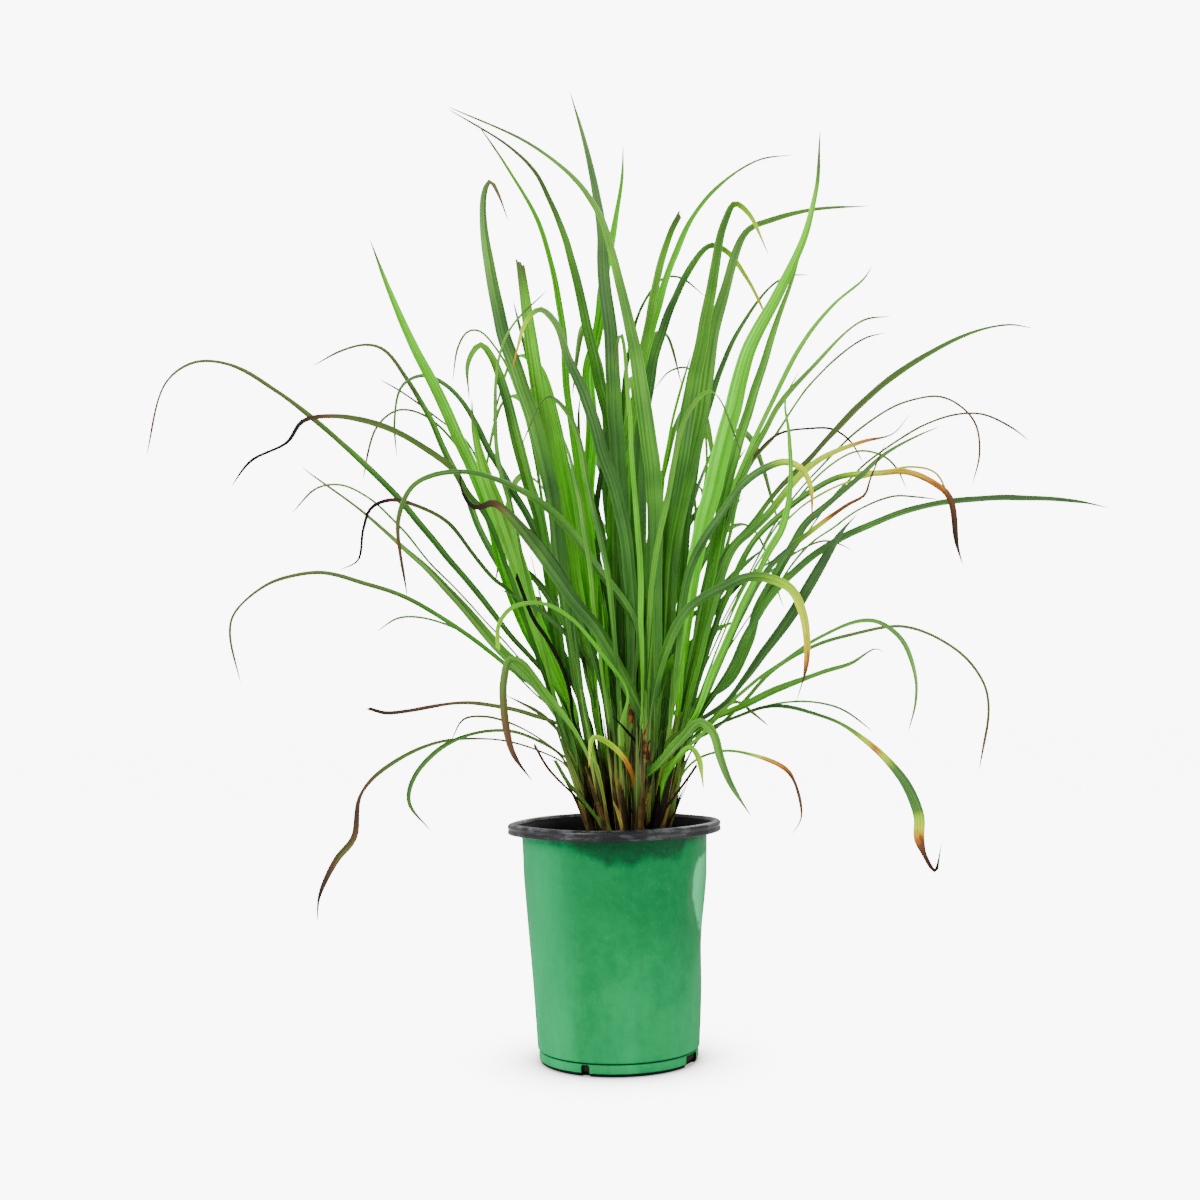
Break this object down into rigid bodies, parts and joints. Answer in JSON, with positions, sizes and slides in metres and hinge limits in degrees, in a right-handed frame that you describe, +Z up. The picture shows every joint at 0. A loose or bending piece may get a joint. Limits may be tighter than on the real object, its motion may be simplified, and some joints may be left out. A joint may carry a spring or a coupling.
{
  "type": "potted lemongrass plant",
  "caption": "Clump of arching grass-like leaves on stout stems growing in a tall round nursery pot with a rolled rim.",
  "frame": {"origin": "centre of the pot's flat underside, on the surface it stands on", "axes": "+Z up along the pot's axis, -Y towards the front of the plant, +X to its right"},
  "size_m": [0.7694, 0.555, 0.7754],
  "materials": {
    "pot_plastic": "satin green outside, black inside and on the rim",
    "potting_mix": "dark loose potting mix",
    "leaf_green": "satin leaf, straw-coloured at the foot",
    "leaf_pale_green": "satin leaf, straw-coloured at the foot"
  },
  "bodies": {
    "root": {"pot": "pot_plastic", "soil": "potting_mix", "leafy_stem_01": "leaf_pale_green", "leafy_stem_02": "leaf_green", "leafy_stem_03": "leaf_pale_green", "leafy_stem_04": "leaf_green", "leafy_stem_05": "leaf_pale_green", "leafy_stem_06": "leaf_green", "leafy_stem_07": "leaf_pale_green", "leafy_stem_08": "leaf_green", "leafy_stem_09": "leaf_pale_green", "leafy_stem_10": "leaf_green", "leafy_stem_11": "leaf_pale_green", "leafy_stem_12": "leaf_green", "leafy_stem_13": "leaf_pale_green", "leafy_stem_14": "leaf_green", "leafy_stem_15": "leaf_pale_green", "leafy_stem_16": "leaf_green", "leafy_stem_17": "leaf_pale_green", "leafy_stem_18": "leaf_green", "leafy_stem_19": "leaf_pale_green", "leafy_stem_20": "leaf_green", "leafy_stem_21": "leaf_pale_green", "leafy_stem_22": "leaf_green", "leafy_stem_23": "leaf_pale_green", "leafy_stem_24": "leaf_green", "leafy_stem_25": "leaf_pale_green", "leafy_stem_26": "leaf_green"}
  },
  "joints": []
}
